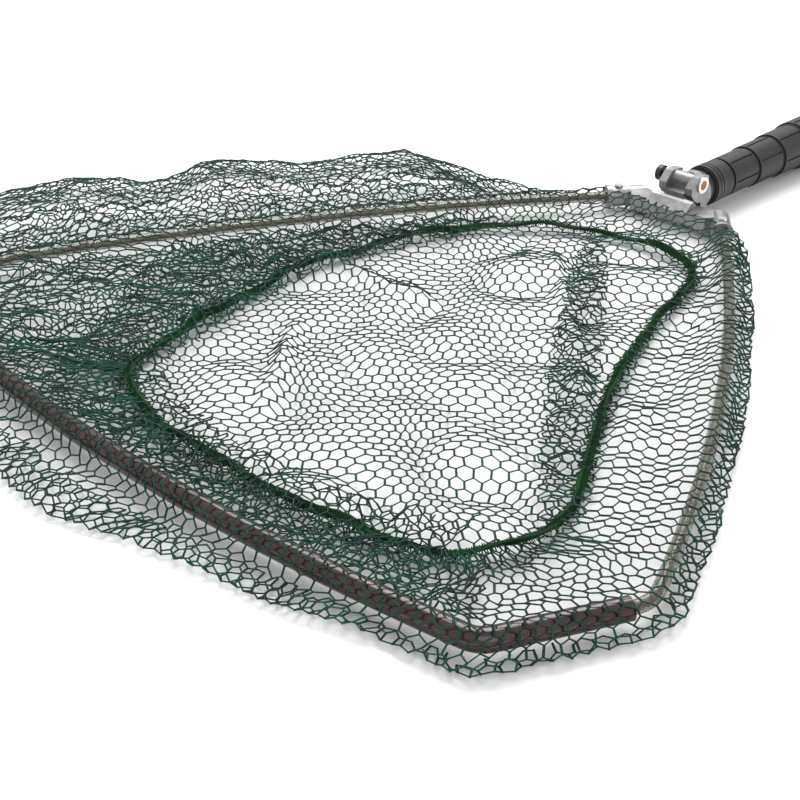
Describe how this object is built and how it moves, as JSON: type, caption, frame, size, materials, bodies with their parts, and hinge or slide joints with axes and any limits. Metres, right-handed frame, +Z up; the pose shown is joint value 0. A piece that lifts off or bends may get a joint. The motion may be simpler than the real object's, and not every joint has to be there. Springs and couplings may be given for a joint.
{
  "type": "landing net",
  "caption": "Folding triangular landing net: ribbed telescoping handle, hinged cast head, two flexible arms, a bent front tube and slack mesh bag.",
  "frame": {"origin": "on the table plane under the cast yoke's flat foot, on the plane of symmetry of the hoop and handle", "axes": "+Y along the handle towards the butt, +Z up, +X to the side away from the lock button"},
  "size_m": [0.6368, 0.8349, 0.034],
  "materials": {
    "tube_metal": "anodised satin",
    "grip_rubber": "ribbed",
    "black_plastic": "satin",
    "bush_plastic": "satin",
    "cast_head": "die-cast, satin",
    "pin_brass": "satin",
    "steel": "polished",
    "clear_sleeve": "clear tubing",
    "rod_tan": "pultruded",
    "tube_red_brown": "gloss",
    "netting": "knotless hexagonal mesh",
    "hem_cord": "braided"
  },
  "bodies": {
    "handle": {"outer_tube": "tube_metal", "grip": "grip_rubber", "front_collar": "black_plastic", "butt_cap": "grip_rubber"},
    "mid_section": {"mid_tube": "tube_metal", "mid_collar": "black_plastic", "mid_bush": "bush_plastic"},
    "inner_section": {"inner_tube": "tube_metal", "inner_bush": "bush_plastic", "head_socket": "cast_head", "hinge_pin": "pin_brass", "hinge_washers": "steel"},
    "lock": {"lock_button": "black_plastic", "button_spring": "steel"},
    "hoop": {"yoke": "cast_head", "arm_sleeve_right": "clear_sleeve", "arm_sleeve_left": "clear_sleeve", "arm_core_right": "rod_tan", "arm_core_left": "rod_tan", "front_tube": "tube_red_brown", "tube_ferrule_right": "black_plastic", "tube_ferrule_left": "black_plastic", "prong_rivets": "steel", "net_bag": "netting", "net_hem": "hem_cord"}
  },
  "joints": [
    {"name": "mid_slide", "type": "slide", "parent": "handle", "child": "mid_section", "axis": [0, -1, 0], "range_m": [0, 0.26]},
    {"name": "inner_slide", "type": "slide", "parent": "mid_section", "child": "inner_section", "axis": [0, -1, 0], "range_m": [0, 0.25]},
    {"name": "head_fold", "type": "hinge", "parent": "inner_section", "child": "hoop", "pos_m": [0, 0.006, 0.026], "axis": [-1, 0, 0], "range_deg": [0, 170]},
    {"name": "button_press", "type": "slide", "parent": "inner_section", "child": "lock", "axis": [1, 0, 0], "range_m": [0, 0.0025], "stiffness_N_per_m": 400, "deforming": ["button_spring"]}
  ]
}
